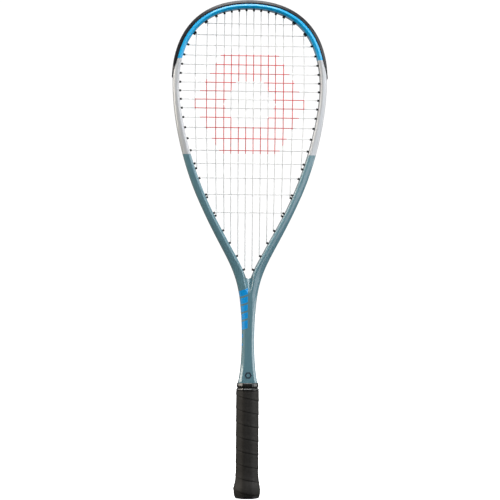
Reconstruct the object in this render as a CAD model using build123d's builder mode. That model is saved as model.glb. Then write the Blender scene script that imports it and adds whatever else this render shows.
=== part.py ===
from build123d import *
from math import atan2, cos, degrees, hypot, radians, sin, tan
import os

# Squash racket: hollow frame, guard and grommet strips, string bed, and a wrapped handle with its collar.
# It stands on its butt end: +Z runs up the handle to the head, the string face looks along -Y, and the
# origin is the middle of the butt face. All sizes are millimetres.

# Overall sizes
racket_length = 686.0
head_width = 215.0
beam_depth = 20.0

# Bumper guard: how far it stands out from the frame, and how far its lips wrap the frame's edges
bumper_crown = 3.4
bumper_tip = 1.1
bumper_tip_drop = 104.1
bumper_lip = 2.4
bumper_face_gap = 0.4

# Frame outline: drops are measured down from the top of the frame, handles are curve handle lengths,
# and shares are of the half width of the same outline
widest_drop = 109.3
outer_crown_share = 0.7707
outer_shoulder_handle = 53.0
outer_flank_handle = 60.0
leg_share = 0.6842
leg_drop = 265.1
leg_angle = 23.5
leg_upper_handle = 35.6
leg_lower_handle = 115.0
throat_handle = 107.7
waist_half_width = 8.45
waist_height = 216.0
flare_handle = 26.0
flare_half_width = 12.9
flare_height = 160.0
flare_angle = 11.0
collar_seat_half_width = 12.2

# Head opening outline, measured the same way
crown_beam_width = 8.2
side_beam_width = 8.7
opening_widest_drop = 114.9
inner_crown_share = 0.829
inner_shoulder_handle = 46.4
inner_flank_handle = 39.6
opening_leg_share = 0.4452
opening_leg_drop = 302.0
opening_leg_angle = 28.3
opening_leg_upper_handle = 77.0
opening_leg_lower_handle = 89.0
notch_handle = 25.0
notch_half_width = 1.4
notch_drop = 399.0
saddle_drop = 379.5
saddle_half_width = 3.1

# Frame section
outer_chamfer = 4.0
inner_chamfer = 2.0
tube_wall = 1.3
face_wall = 2.4
shaft_wall = 1.6
groove_depth = 3.0
groove_width = 6.8
groove_end_rise = 3.4
strip_split_drop = 220.6
tang_half_width = 9.0
tang_end = 14.0
shaft_cavity_drop = 11.6
cavity_chamfer = 2.4

# Strings and grommets
string_diameter = 1.2
layer_gap = 0.1
plate_thickness = 0.9
plate_side_gap = 0.15
string_lift = 0.45
bore_gap = 0.25
barrel_wall = 0.65
barrel_reach = 3.0
barrel_gap = 0.1
channel_width = 4.4
mouth_stand_off = 1.2
mouth_spacing = 2.3
bend_reach = 1.1
tail_share = 0.04

# String places on the grommets' inner ends: mains by their share of the opening's half width,
# outermost first, at the head and at the throat, and crosses by their drop from the frame's top
mains_at_head = [0.7595, 0.6018, 0.4708, 0.3593, 0.2579, 0.1535, 0.0522]
mains_at_throat = [0.7369, 0.5803, 0.4585, 0.348, 0.2528, 0.1515, 0.0502]
first_cross_drop = 28.8
cross_gaps = [15.7, 14.5, 13.7, 12.7, 12.4, 12.1, 11.8, 11.6, 12.1, 12.7, 14.0, 15.0, 16.5, 18.0, 20.0, 22.6, 25.0]

# Handle
grip_width = 31.6
grip_face_width = 13.6
grip_flat_depth = 9.0
wrap_thickness = 1.6
pallet_top = 148.0
spigot_top = 38.0
spigot_bottom = 4.2
spigot_step = 1.1
spigot_wall = 1.0
fit_gap = 0.1
cap_floor = 4.0
butt_face_inset = 1.6
butt_corner_height = 1.6
wrap_bottom = 3.0
flare_extra = 3.1
flare_profile = [(3.0, 0.58), (7.5, 0.9), (13.0, 1.0), (18.5, 0.62), (24.0, 0.22), (36.0, 0.0)]
badge_radius = 8.0
badge_thickness = 1.0
badge_setback = 0.3
badge_gap = 0.1

# Collar, tape and fixings
collar_bottom = 148.6
collar_gap = 0.25
collar_profile = [(0.0, 0.0), (1.9, 0.0), (3.4, 0.8), (4.7, 0.5), (8.0, 0.9), (9.4, 1.3), (10.7, 1.8)]
collar_half_width = 15.5
collar_depth_step = 3.5
collar_face_width = 15.0
collar_flat_depth = 10.5
collar_top_wall = 0.6
tape_thickness = 0.4
tape_height = 7.0
staple_crown = 6.0
staple_wire = 0.7
staple_leg = 2.2
staple_height = 27.0
tack_head_radius = 2.2
tack_head_thickness = 0.5
tack_shank_radius = 0.6
tack_length = 3.0
tack_height = 19.0
tack_swell_share = 0.56

os.makedirs("parts", exist_ok=True)

frame_top = racket_length - bumper_crown
string_radius = string_diameter / 2
layer_offset = string_radius + layer_gap / 2
bore_radius = string_radius + bore_gap
barrel_radius = bore_radius + barrel_wall
grip_depth = beam_depth + 2 * (fit_gap + spigot_wall + spigot_step + wrap_thickness)
collar_half_depth = beam_depth / 2 + collar_depth_step
outer_half_width = head_width / 2 - bumper_tip
opening_top = frame_top - crown_beam_width
opening_half_width = outer_half_width - side_beam_width
notch_height = frame_top - notch_drop
saddle_height = frame_top - saddle_drop
plate_distance = groove_depth - plate_thickness
string_distance = plate_distance - string_radius - string_lift
groove_end_height = notch_height + groove_end_rise


def keep(piece, name):
    """Labels a finished piece and writes its file."""
    piece.label = name
    export_step(piece, f"parts/{name}.step")


# ---- outlines ----
def leaning(point, angle, length):
    """The point reached from another by going up and outwards at an angle from the vertical."""
    return (point[0] + length * sin(radians(angle)), point[1] + length * cos(radians(angle)))


crown_point = (0, frame_top)
widest_point = (outer_half_width, frame_top - widest_drop)
leg_point = (leg_share * outer_half_width, frame_top - leg_drop)
waist_point = (waist_half_width, waist_height)
flare_point = (flare_half_width, flare_height)
outer_outline = [
    [
        crown_point,
        (outer_crown_share * outer_half_width, frame_top),
        (outer_half_width, widest_point[1] + outer_shoulder_handle),
        widest_point,
    ],
    [
        widest_point,
        (outer_half_width, widest_point[1] - outer_flank_handle),
        leaning(leg_point, leg_angle, leg_upper_handle),
        leg_point,
    ],
    [
        leg_point,
        leaning(leg_point, leg_angle, -leg_lower_handle),
        (waist_half_width, waist_height + throat_handle),
        waist_point,
    ],
    [
        waist_point,
        (waist_half_width, waist_height - flare_handle),
        leaning(flare_point, -flare_angle, flare_handle / 2),
        flare_point,
    ],
]

opening_crown = (0, opening_top)
opening_widest = (opening_half_width, frame_top - opening_widest_drop)
opening_leg = (opening_leg_share * opening_half_width, frame_top - opening_leg_drop)
notch_point = (notch_half_width, notch_height)
opening_outline = [
    [
        opening_crown,
        (inner_crown_share * opening_half_width, opening_top),
        (opening_half_width, opening_widest[1] + inner_shoulder_handle),
        opening_widest,
    ],
    [
        opening_widest,
        (opening_half_width, opening_widest[1] - inner_flank_handle),
        leaning(opening_leg, opening_leg_angle, opening_leg_upper_handle),
        opening_leg,
    ],
    [
        opening_leg,
        leaning(opening_leg, opening_leg_angle, -opening_leg_lower_handle),
        (notch_half_width, notch_height + notch_handle),
        notch_point,
    ],
]


def along(outline, place, distance=0.0):
    """A point of an outline and its outward normal. The whole part of place picks the curve.

    The point is moved inwards, against the normal, by distance. A negative place gives the left side.
    """
    side = -1 if place < 0 else 1
    index = min(int(abs(place)), len(outline) - 1)
    t = abs(place) - index
    a, b, c, d = outline[index]
    point = [
        (1 - t) ** 3 * a[k] + 3 * (1 - t) ** 2 * t * b[k] + 3 * (1 - t) * t**2 * c[k] + t**3 * d[k]
        for k in (0, 1)
    ]
    slope = [
        (1 - t) ** 2 * (b[k] - a[k]) + 2 * (1 - t) * t * (c[k] - b[k]) + t**2 * (d[k] - c[k])
        for k in (0, 1)
    ]
    size = hypot(*slope)
    normal = (-slope[1] / size, slope[0] / size)
    x = side * (point[0] - distance * normal[0])
    return (x, point[1] - distance * normal[1]), (side * normal[0], normal[1])


def place_where(outline, distance, low, high, test):
    """The place between low and high where test of the point changes sign."""
    for _ in range(50):
        middle = (low + high) / 2
        same = test(*along(outline, middle, distance)[0]) > 0
        low, high = (middle, high) if same else (low, middle)
    return low


def points_between(outline, start, end, distance, steps):
    """Points on an outline moved inwards by a distance, which is a number or a function of place."""
    found = []
    for step in range(steps + 1):
        place = start + (end - start) * step / steps
        moved = distance(place) if callable(distance) else distance
        found.append(along(outline, place, moved)[0])
    return found


groove_end = place_where(outer_outline, 0, 1, 3, lambda x, z: z - groove_end_height)
bumper_end = place_where(outer_outline, 0, 0, 2, lambda x, z: z - frame_top + bumper_tip_drop)


# ---- strings' places ----
def grommet(place):
    """Mouth, direction and outer ends of the grommet barrel at a place on the opening's outline."""
    mouth, normal = along(opening_outline, place, barrel_reach)
    ends = {}
    for name, distance in (("plate", (plate_distance + groove_depth) / 2), ("string", string_distance)):
        nearest = place_where(
            outer_outline,
            distance,
            max(place - 1, 0),
            min(place + 1, 3),
            lambda x, z: (z - mouth[1]) * normal[0] - (x - mouth[0]) * normal[1],
        )
        ends[name] = along(outer_outline, nearest, distance)[0]
        ends[name + "_place"] = nearest
    return {"mouth": mouth, "normal": normal, "place": place, **ends}


def clear_of_crosses(place):
    """The place, moved along the opening until its mouth stands clear of every cross's mouth."""

    def nearest(moved):
        mouth = along(opening_outline, moved, barrel_reach)[0]
        return min((hypot(mouth[0] - g["mouth"][0], mouth[1] - g["mouth"][1]), g["place"]) for g in cross_ends)

    step = 0.0005 if place > nearest(place)[1] else -0.0005
    while nearest(place)[0] < mouth_spacing:
        place += step
    return place


cross_heights = [frame_top - first_cross_drop]
for gap in cross_gaps:
    cross_heights.append(cross_heights[-1] - gap)
cross_ends = [
    grommet(place_where(opening_outline, barrel_reach, 0, 3, lambda x, z: z - height)) for height in cross_heights
]
main_tops = [
    grommet(
        clear_of_crosses(
            place_where(opening_outline, barrel_reach, 0, 1, lambda x, z: share * opening_half_width - x)
        )
    )
    for share in mains_at_head
]
main_feet = [
    grommet(
        clear_of_crosses(
            place_where(opening_outline, barrel_reach, 1, 3, lambda x, z: x - share * opening_half_width)
        )
    )
    for share in mains_at_throat
]
grommets = [(g, layer_offset) for g in main_tops + main_feet] + [(g, -layer_offset) for g in cross_ends]
grommets.sort(key=lambda pair: pair[0]["plate_place"])


def grommet_plane(g, layer, side, setback=0.0):
    """The plane across a barrel, set back from its mouth into the opening, facing outwards."""
    origin = (
        side * (g["mouth"][0] - setback * g["normal"][0]),
        layer,
        g["mouth"][1] - setback * g["normal"][1],
    )
    return Plane(origin=origin, x_dir=(0, 1, 0), z_dir=(side * g["normal"][0], 0, g["normal"][1]))


def mirrored(points):
    """The same points on the other side of the centre line, in the opposite order."""
    return [(-x, z) for x, z in reversed(points)]


def band(start, end, near, far, depth):
    """The strip between two distances from the frame's outline, centred on the string plane."""
    steps = max(4, round(abs(end - start) * 16))
    with BuildPart(mode=Mode.PRIVATE) as strip:
        with BuildSketch(Plane.XZ):
            with BuildLine():
                outside = Spline(*points_between(outer_outline, start, end, near, steps))
                inside = Spline(*points_between(outer_outline, start, end, far, steps))
                Line(outside @ 0, inside @ 0)
                Line(outside @ 1, inside @ 1)
            make_face()
        extrude(amount=depth / 2, both=True)
    return strip.part


def eight_sided(height, half_width, half_depth, face, flat):
    """A level eight-sided section: flat faces in front, behind and at the sides, with bevels between."""
    with BuildSketch(Plane.XY.offset(height), mode=Mode.PRIVATE) as section:
        with BuildLine():
            Polyline(
                (face / 2, -half_depth),
                (half_width, -flat / 2),
                (half_width, flat / 2),
                (face / 2, half_depth),
                (-face / 2, half_depth),
                (-half_width, flat / 2),
                (-half_width, -flat / 2),
                (-face / 2, -half_depth),
                close=True,
            )
        make_face()
    return section.sketch


def column(section, height):
    """A level section carried straight up."""
    with BuildPart(mode=Mode.PRIVATE) as body:
        add(section)
        extrude(amount=height, dir=(0, 0, 1))
    return body.part


# ---- frame ----
with BuildPart() as frame:
    with BuildSketch(Plane.XZ):
        with BuildLine():
            for curve in outer_outline:
                Bezier(*curve)
            Polyline(flare_point, (collar_seat_half_width, pallet_top), (0, pallet_top))
            mirror(about=Plane.YZ)
        make_face()
    extrude(amount=beam_depth / 2, both=True)
    rims = frame.faces().filter_by(Axis.Y).sort_by(Axis.Y)
    chamfer(
        [edge for rim in rims for edge in rim.edges() if edge.center().Z > pallet_top + 1],
        length=outer_chamfer,
    )
    tang = eight_sided(
        tang_end,
        tang_half_width,
        beam_depth / 2,
        2 * (tang_half_width - outer_chamfer),
        beam_depth - 2 * outer_chamfer,
    )
    add(column(tang, pallet_top - tang_end))

with BuildPart() as opening:
    with BuildSketch(Plane.XZ):
        with BuildLine():
            for curve in opening_outline:
                Bezier(*curve)
            Line(notch_point, (0, notch_height))
            mirror(about=Plane.YZ)
        make_face()
    extrude(amount=beam_depth, both=True)

with BuildPart() as saddle:
    with BuildSketch(Plane.YZ):
        with BuildLine():
            Polyline(
                (-beam_depth / 2, notch_height - 1),
                (-beam_depth / 2, notch_height),
                (0, saddle_height),
                (beam_depth / 2, notch_height),
                (beam_depth / 2, notch_height - 1),
                close=True,
            )
        make_face()
    extrude(amount=saddle_half_width, both=True)

with BuildPart() as tube_cavity:
    with BuildSketch(Plane.XZ):
        with BuildLine():
            outer_wall = groove_depth + tube_wall
            crown_outer = Spline(*points_between(outer_outline, -groove_end, groove_end, outer_wall, 60))
            inner_end = place_where(
                opening_outline, -tube_wall, 1, 3, lambda x, z: z - (crown_outer @ 1).Y
            )
            crown_inner = Spline(*points_between(opening_outline, -inner_end, inner_end, -tube_wall, 60))
            Line(crown_outer @ 0, crown_inner @ 0)
            Line(crown_outer @ 1, crown_inner @ 1)
        make_face()
    extrude(amount=beam_depth / 2 - face_wall, both=True)

with BuildPart() as shaft_cavity:
    cavity_bottom = pallet_top + shaft_wall
    with BuildSketch(Plane.XZ):
        with BuildLine():
            cavity_top = notch_height - shaft_cavity_drop
            top_place = place_where(outer_outline, shaft_wall, 2, 3, lambda x, z: z - cavity_top)
            wall_line = Spline(*points_between(outer_outline, top_place, 3.8, shaft_wall, 12))
            Line((0, cavity_top), wall_line @ 0)
            Polyline(wall_line @ 1, (collar_seat_half_width - shaft_wall, cavity_bottom), (0, cavity_bottom))
            mirror(about=Plane.YZ)
        make_face()
    extrude(amount=beam_depth / 2 - face_wall, both=True)
    rims = shaft_cavity.faces().filter_by(Axis.Y).sort_by(Axis.Y)
    chamfer(
        [edge for rim in rims for edge in rim.edges() if edge.center().Z > cavity_bottom + 1],
        length=cavity_chamfer,
    )
    tang_cavity = eight_sided(
        tang_end,
        tang_half_width - shaft_wall,
        beam_depth / 2 - face_wall,
        2 * (tang_half_width - shaft_wall - cavity_chamfer),
        beam_depth - 2 * (face_wall + cavity_chamfer),
    )
    add(column(tang_cavity, cavity_bottom - tang_end))

with BuildPart() as frame_body:
    add(frame.part)
    add(opening.part, mode=Mode.SUBTRACT)
    rims = frame_body.faces().filter_by(Axis.Y).sort_by(Axis.Y)
    rim_edges = ShapeList()
    for rim in (rims[0], rims[-1]):
        for wire in rim.inner_wires():
            rim_edges += wire.edges()
    chamfer(rim_edges, length=inner_chamfer)
    add(saddle.part)
    add(tube_cavity.part, mode=Mode.SUBTRACT)
    add(shaft_cavity.part, mode=Mode.SUBTRACT)
    add(band(-groove_end, groove_end, -2 * bumper_crown, groove_depth, groove_width), mode=Mode.SUBTRACT)
    hole_planes = [grommet_plane(g, layer, side) for g, layer in grommets for side in (-1, 1)]
    with BuildSketch(*hole_planes):
        Circle(barrel_radius + barrel_gap)
    extrude(amount=barrel_reach + 26, mode=Mode.SUBTRACT)
keep(frame_body.part, "frame")

# ---- guard and grommet strips ----


def drop_under(place):
    """How far the guard stands outside the frame at a place, as a negative distance."""
    return -(bumper_crown + (bumper_tip - bumper_crown) * abs(place) / bumper_end)


def barrels(members, sides, radius, setback=0.0, overrun=0.0):
    """The barrels of some grommets, or their bores when they overrun the plate and the mouth."""
    with BuildPart(mode=Mode.PRIVATE) as group:
        for g, layer in members:
            reach = hypot(g["plate"][0] - g["mouth"][0], g["plate"][1] - g["mouth"][1])
            with BuildSketch(*[grommet_plane(g, layer, side, setback) for side in sides]):
                Circle(radius)
            extrude(amount=setback + reach + overrun)
    return group.part


def between(start, end):
    """The grommets whose barrels meet the plate between two places."""
    return [(g, layer) for g, layer in grommets if start < g["plate_place"] < end]


def break_after(place):
    """The place halfway between the last barrel before a place and the next one."""
    places = [g["plate_place"] for g, layer in grommets]
    return (max(p for p in places if p <= place) + min(p for p in places if p > place)) / 2


strip_gap = 0.002
side_start = bumper_end + strip_gap
side_end = break_after(place_where(outer_outline, 0, 1, 3, lambda x, z: z - frame_top + strip_split_drop))
plate_width = groove_width - 2 * plate_side_gap

with BuildPart() as bumper_guard:
    add(band(-bumper_end, bumper_end, drop_under, bumper_lip, beam_depth - 2 * bumper_face_gap))
    add(frame.part, mode=Mode.SUBTRACT)
    add(band(-bumper_end, bumper_end, -bumper_tip / 2, groove_depth, plate_width))
    add(barrels(between(0, bumper_end), (-1, 1), barrel_radius))
    add(band(-bumper_end, bumper_end, -3 * bumper_crown, plate_distance, channel_width), mode=Mode.SUBTRACT)
    add(barrels(between(0, bumper_end), (-1, 1), bore_radius, 1, plate_thickness), mode=Mode.SUBTRACT)
keep(bumper_guard.part, "bumper_guard")

for stem, start, end in (("side_strip", side_start, side_end), ("throat_strip", side_end + strip_gap, groove_end)):
    members = between(start, end)
    for side, name in ((-1, "left"), (1, "right")):
        with BuildPart() as strip:
            add(band(side * start, side * (end - strip_gap), plate_distance, groove_depth, plate_width))
            add(barrels(members, (side,), barrel_radius))
            add(barrels(members, (side,), bore_radius, 1, plate_thickness), mode=Mode.SUBTRACT)
        keep(strip.part, stem + "_" + name)

# ---- strings ----


def inside_point(g):
    """Where a string bends, just off its grommet's mouth."""
    return (
        g["mouth"][0] - mouth_stand_off * g["normal"][0],
        g["mouth"][1] - mouth_stand_off * g["normal"][1],
    )


def over(first, second):
    """The channel run from one grommet to the next: its two ends and its middle."""
    middle = (first["string_place"] + second["string_place"]) / 2
    return [first["string"], along(outer_outline, middle, string_distance)[0], second["string"]]


def turn_at(before, point, after):
    """The angle in degrees by which a route turns at a point."""
    one = atan2(point[1] - before[1], point[0] - before[0])
    two = atan2(after[1] - point[1], after[0] - point[0])
    return abs((degrees(two - one) + 180) % 360 - 180)


def string_along(route, layer):
    """A round string along a flat route, bent at every point that isn't in line."""
    route = [
        point
        for index, point in enumerate(route)
        if index in (0, len(route) - 1) or turn_at(route[index - 1], point, route[index + 1]) > 0.3
    ]
    radii = [
        bend_reach / tan(radians(turn_at(*route[index - 1 : index + 2]) / 2))
        for index in range(1, len(route) - 1)
    ]
    with BuildPart(mode=Mode.PRIVATE) as string:
        with BuildLine(Plane.XZ.offset(-layer)) as line:
            FilletPolyline(*route, radius=radii)
        path = line.wire()
        with BuildSketch(Plane(origin=path @ 0, z_dir=path % 0)):
            Circle(string_radius)
        sweep(path=path)
    print("string", round(path.length), "mm, share of full section", string.part.volume / path.length)
    return string.part


def tail(g, step):
    """The end of a string that lies in the channel beyond its last grommet."""
    return along(outer_outline, g["string_place"] + step, string_distance)[0]


half_route = []
for index in range(len(main_tops) - 1, -1, -1):
    top, foot = main_tops[index], main_feet[index]
    outward = (len(main_tops) - 1 - index) % 2 == 0
    first, last = (top, foot) if outward else (foot, top)
    half_route += [first["string"], inside_point(first), inside_point(last), last["string"]]
    if index:
        following = main_feet[index - 1] if outward else main_tops[index - 1]
        half_route.append(over(last, following)[1])
half_route.append(tail(main_feet[0], tail_share))
mains_route = mirrored(half_route) + half_route

cross_route = [tail(cross_ends[0], -tail_share)]
for index, g in enumerate(cross_ends):
    across = [g["string"], inside_point(g), *mirrored([g["string"], inside_point(g)])]
    leftwards = index % 2 == 0
    cross_route += across if leftwards else across[::-1]
    if index < len(cross_ends) - 1:
        x, z = over(g, cross_ends[index + 1])[1]
        cross_route.append((-x if leftwards else x, z))
cross_route.append(tail(cross_ends[-1], tail_share))

keep(string_along(mains_route, layer_offset), "mains_string")
keep(string_along(cross_route, -layer_offset), "crosses_string")

# ---- handle ----


def grip_section(height, inset, swell=0.0):
    """The grip's own section, inset evenly and swollen evenly."""
    change = swell - inset
    half_width = grip_width / 2 + change
    half_depth = grip_depth / 2 + change
    return eight_sided(height, half_width, half_depth, grip_face_width + 0.6 * change, grip_flat_depth + 0.6 * change)


def stack(sections):
    """A solid through level sections."""
    with BuildPart(mode=Mode.PRIVATE) as body:
        loft(sections=sections)
    return body.part


def shaft_section(height, extra):
    """The frame's own section under the collar, grown by a gap or a thickness."""
    lean = (flare_half_width - collar_seat_half_width) / (flare_height - pallet_top)
    half_width = collar_seat_half_width + lean * (height - pallet_top) + extra
    half_depth = beam_depth / 2 + extra
    face = 2 * (half_width - outer_chamfer)
    flat = 2 * (half_depth - outer_chamfer)
    return eight_sided(height, half_width, half_depth, face, flat)


def staple(side):
    """One staple at the left or the right: its crown and two legs."""
    depth = spigot_half_width + fit_gap
    with BuildPart(mode=Mode.PRIVATE) as wire:
        with BuildSketch(Plane.XY.offset(staple_height)):
            with Locations((side * (depth + staple_wire / 2), 0)):
                Rectangle(staple_wire, staple_crown)
            with Locations(
                *[(side * (depth - staple_leg / 2), s * (staple_crown - staple_wire) / 2) for s in (-1, 1)]
            ):
                Rectangle(staple_leg, staple_wire)
        extrude(amount=staple_wire)
    return wire.part


spigot_inset = wrap_thickness + spigot_step
spigot_half_width = grip_width / 2 - spigot_inset
flare_levels = [(height, flare_extra * share) for height, share in flare_profile]

with BuildPart() as tack:
    head_seat = grip_depth / 2 + flare_extra * tack_swell_share
    with BuildSketch(Plane.XZ.offset(-head_seat)):
        with Locations((0, tack_height)):
            Circle(tack_head_radius)
    extrude(amount=-tack_head_thickness)
    with BuildSketch(Plane.XZ.offset(-head_seat)):
        with Locations((0, tack_height)):
            Circle(tack_shank_radius)
    extrude(amount=tack_length)
keep(tack.part, "wrap_tack")

with BuildPart() as staples:
    add(staple(-1))
    add(staple(1))
keep(staples.part, "cap_staples")

with BuildPart() as pallet:
    add(column(grip_section(spigot_bottom, spigot_inset), spigot_top - spigot_bottom))
    add(column(grip_section(spigot_top, wrap_thickness), pallet_top - spigot_top))
    tang_slot = eight_sided(
        tang_end - fit_gap,
        tang_half_width + fit_gap,
        beam_depth / 2 + fit_gap,
        2 * (tang_half_width - outer_chamfer + fit_gap / 2),
        beam_depth - 2 * outer_chamfer + fit_gap,
    )
    add(column(tang_slot, pallet_top), mode=Mode.SUBTRACT)
    add(staples.part, mode=Mode.SUBTRACT)
keep(pallet.part, "handle_pallet")

with BuildPart() as grip_outer:
    add(stack([grip_section(height, 0, swell) for height, swell in flare_levels]))
    add(column(grip_section(flare_levels[-1][0], 0), pallet_top - flare_levels[-1][0]))

with BuildPart() as cap_outer:
    butt_swell = flare_levels[0][1]
    add(
        stack(
            [
                grip_section(0, butt_face_inset, butt_swell - wrap_thickness / 2),
                grip_section(butt_corner_height, 0, butt_swell - wrap_thickness / 2),
                grip_section(wrap_bottom, 0, butt_swell - wrap_thickness / 2),
            ]
        )
    )
    add(stack([grip_section(height, wrap_thickness, swell) for height, swell in flare_levels]))
    add(column(grip_section(flare_levels[-1][0], wrap_thickness), spigot_top - flare_levels[-1][0]))

with BuildPart() as cap:
    add(cap_outer.part)
    add(
        column(grip_section(cap_floor, spigot_inset - fit_gap), spigot_top),
        mode=Mode.SUBTRACT,
    )
    with BuildSketch(Plane.XY):
        Circle(badge_radius + badge_gap)
    extrude(amount=badge_setback + badge_thickness, mode=Mode.SUBTRACT)
    add(staples.part, mode=Mode.SUBTRACT)
    add(tack.part, mode=Mode.SUBTRACT)
keep(cap.part, "butt_cap")

with BuildPart() as badge:
    with BuildSketch(Plane.XY.offset(badge_setback)):
        Circle(badge_radius)
    extrude(amount=badge_thickness)
    fillet(badge.edges().sort_by(Axis.Z)[0], radius=badge_setback)
keep(badge.part, "butt_badge")

with BuildPart() as wrap:
    add(grip_outer.part)
    add(cap_outer.part, mode=Mode.SUBTRACT)
    add(column(grip_section(spigot_bottom, wrap_thickness), pallet_top), mode=Mode.SUBTRACT)
    add(staples.part, mode=Mode.SUBTRACT)
    add(tack.part, mode=Mode.SUBTRACT)
keep(wrap.part, "grip_wrap")

# ---- finishing tape and collar ----
with BuildPart() as tape:
    tape_bottom = pallet_top + fit_gap / 2
    tape_top = tape_bottom + tape_height
    add(stack([shaft_section(tape_bottom, tape_thickness), shaft_section(tape_top, tape_thickness)]))
    add(frame.part, mode=Mode.SUBTRACT)
keep(tape.part, "finishing_tape")

with BuildPart() as collar:
    top_rise, top_step = collar_profile[-1]
    hole_half_width = flare_half_width + collar_gap
    hole_half_depth = beam_depth / 2 + tape_thickness + collar_gap
    top_half_width = hole_half_width + collar_top_wall
    top_half_depth = hole_half_depth + collar_top_wall
    levels = []
    for rise, step in collar_profile:
        share = rise / top_rise
        half_width = collar_half_width - step
        depth_now = collar_half_depth - step * (collar_half_depth - top_half_depth) / top_step
        face = collar_face_width + share**2 * (2 * (top_half_width - outer_chamfer) - collar_face_width)
        flat = collar_flat_depth + share**2 * (2 * (top_half_depth - outer_chamfer) - collar_flat_depth)
        levels.append(eight_sided(collar_bottom + rise, half_width, depth_now, face, flat))
    loft(sections=levels, ruled=True)
    bevel_sum = flare_half_width + beam_depth / 2 - outer_chamfer + tape_thickness + collar_gap
    hole = eight_sided(
        collar_bottom - 1,
        hole_half_width,
        hole_half_depth,
        2 * (bevel_sum - hole_half_depth),
        2 * (bevel_sum - hole_half_width),
    )
    add(column(hole, top_rise + 2), mode=Mode.SUBTRACT)
keep(collar.part, "grip_collar")
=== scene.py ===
from math import cos, hypot, pi, radians, sin

import bpy
from mathutils import Matrix, Vector


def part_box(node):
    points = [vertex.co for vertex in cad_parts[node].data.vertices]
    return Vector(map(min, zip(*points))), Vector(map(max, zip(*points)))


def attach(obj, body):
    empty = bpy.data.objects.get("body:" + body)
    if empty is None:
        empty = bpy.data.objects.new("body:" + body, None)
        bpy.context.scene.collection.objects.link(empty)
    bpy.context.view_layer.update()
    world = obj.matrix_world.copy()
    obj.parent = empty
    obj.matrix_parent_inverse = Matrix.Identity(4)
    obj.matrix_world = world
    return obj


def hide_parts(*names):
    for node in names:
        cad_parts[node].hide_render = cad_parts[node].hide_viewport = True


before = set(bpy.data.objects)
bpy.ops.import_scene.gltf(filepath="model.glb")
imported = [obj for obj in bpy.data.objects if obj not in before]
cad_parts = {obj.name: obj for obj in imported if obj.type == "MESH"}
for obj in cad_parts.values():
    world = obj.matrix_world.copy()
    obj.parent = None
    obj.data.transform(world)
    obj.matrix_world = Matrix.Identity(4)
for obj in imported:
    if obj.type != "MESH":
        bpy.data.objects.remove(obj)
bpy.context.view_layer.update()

mm = 0.001


def selectOnly(*pieces):
    if bpy.context.mode != "OBJECT":
        bpy.ops.object.mode_set(mode="OBJECT")
    bpy.ops.object.select_all(action="DESELECT")
    for piece in pieces:
        piece.select_set(True)
    if pieces:
        bpy.context.view_layer.objects.active = pieces[0]


def linearColour(hexCode):
    parts = [int(hexCode[i : i + 2], 16) / 255 for i in (1, 3, 5)]
    return tuple(c / 12.92 if c <= 0.04045 else ((c + 0.055) / 1.055) ** 2.4 for c in parts) + (1.0,)


def addNode(tree, kind, inputs=None, **settings):
    node = tree.nodes.new(kind)
    for key, value in settings.items():
        setattr(node, key, value)
    for key, value in (inputs or {}).items():
        if isinstance(value, bpy.types.NodeSocket):
            tree.links.new(value, node.inputs[key])
        else:
            node.inputs[key].default_value = value
    return node


def maths(tree, operation, *values):
    return addNode(tree, "ShaderNodeMath", dict(enumerate(values)), operation=operation).outputs[0]


def spread(tree, value, fromLow, fromHigh, toLow, toHigh):
    # the value carried from one range to another
    return addNode(tree, "ShaderNodeMapRange", {0: value, 1: fromLow, 2: fromHigh, 3: toLow, 4: toHigh}).outputs[0]


def mixColours(tree, share, first, second):
    return addNode(tree, "ShaderNodeMix", {0: share, 6: first, 7: second}, data_type="RGBA").outputs[2]


def noiseOn(tree, coords, scale, detail, roughness=0.5):
    return addNode(tree, "ShaderNodeTexNoise", {"Vector": coords.outputs["Object"], "Scale": scale,
                                                "Detail": detail, "Roughness": roughness}).outputs[0]


def bumpSurface(tree, surface, height, strength, depth):
    # depth in millimetres
    bump = addNode(tree, "ShaderNodeBump", {"Height": height, "Strength": strength, "Distance": depth * mm})
    tree.links.new(bump.outputs[0], surface.inputs["Normal"])


def startMaterial(name, **shader):
    material = bpy.data.materials.new(name)
    material.use_nodes = True
    tree = material.node_tree
    tree.nodes.clear()
    surface = addNode(tree, "ShaderNodeBsdfPrincipled", shader)
    addNode(tree, "ShaderNodeOutputMaterial", {"Surface": surface.outputs[0]})
    coords = addNode(tree, "ShaderNodeTexCoord")
    return material, tree, surface, coords


def giveMaterial(piece, material):
    if not piece.material_slots:
        piece.data.materials.append(material)
    for slot in piece.material_slots:
        slot.material = material


# shaping helpers

def drawnSheet(name, columns, rows, place, closed=False):
    # a flat grid whose points are drawn out to their places, then its doubled points merged
    selectOnly()
    bpy.ops.mesh.primitive_grid_add(x_subdivisions=columns, y_subdivisions=rows, size=2)
    piece = bpy.context.object
    piece.name = name
    piece.data.name = name
    for vertex in piece.data.vertices:
        column = round((vertex.co.x + 1) / 2 * columns)
        row = round((vertex.co.y + 1) / 2 * rows)
        vertex.co = Vector(place(column % columns if closed else column, row)) * mm
    mergeDoubles(piece)
    return piece


def mergeDoubles(piece, gap=0.004):
    selectOnly(piece)
    bpy.ops.object.mode_set(mode="EDIT")
    bpy.ops.mesh.select_all(action="SELECT")
    bpy.ops.mesh.remove_doubles(threshold=gap * mm)
    bpy.ops.mesh.dissolve_degenerate(threshold=gap * mm)
    bpy.ops.object.mode_set(mode="OBJECT")


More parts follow.
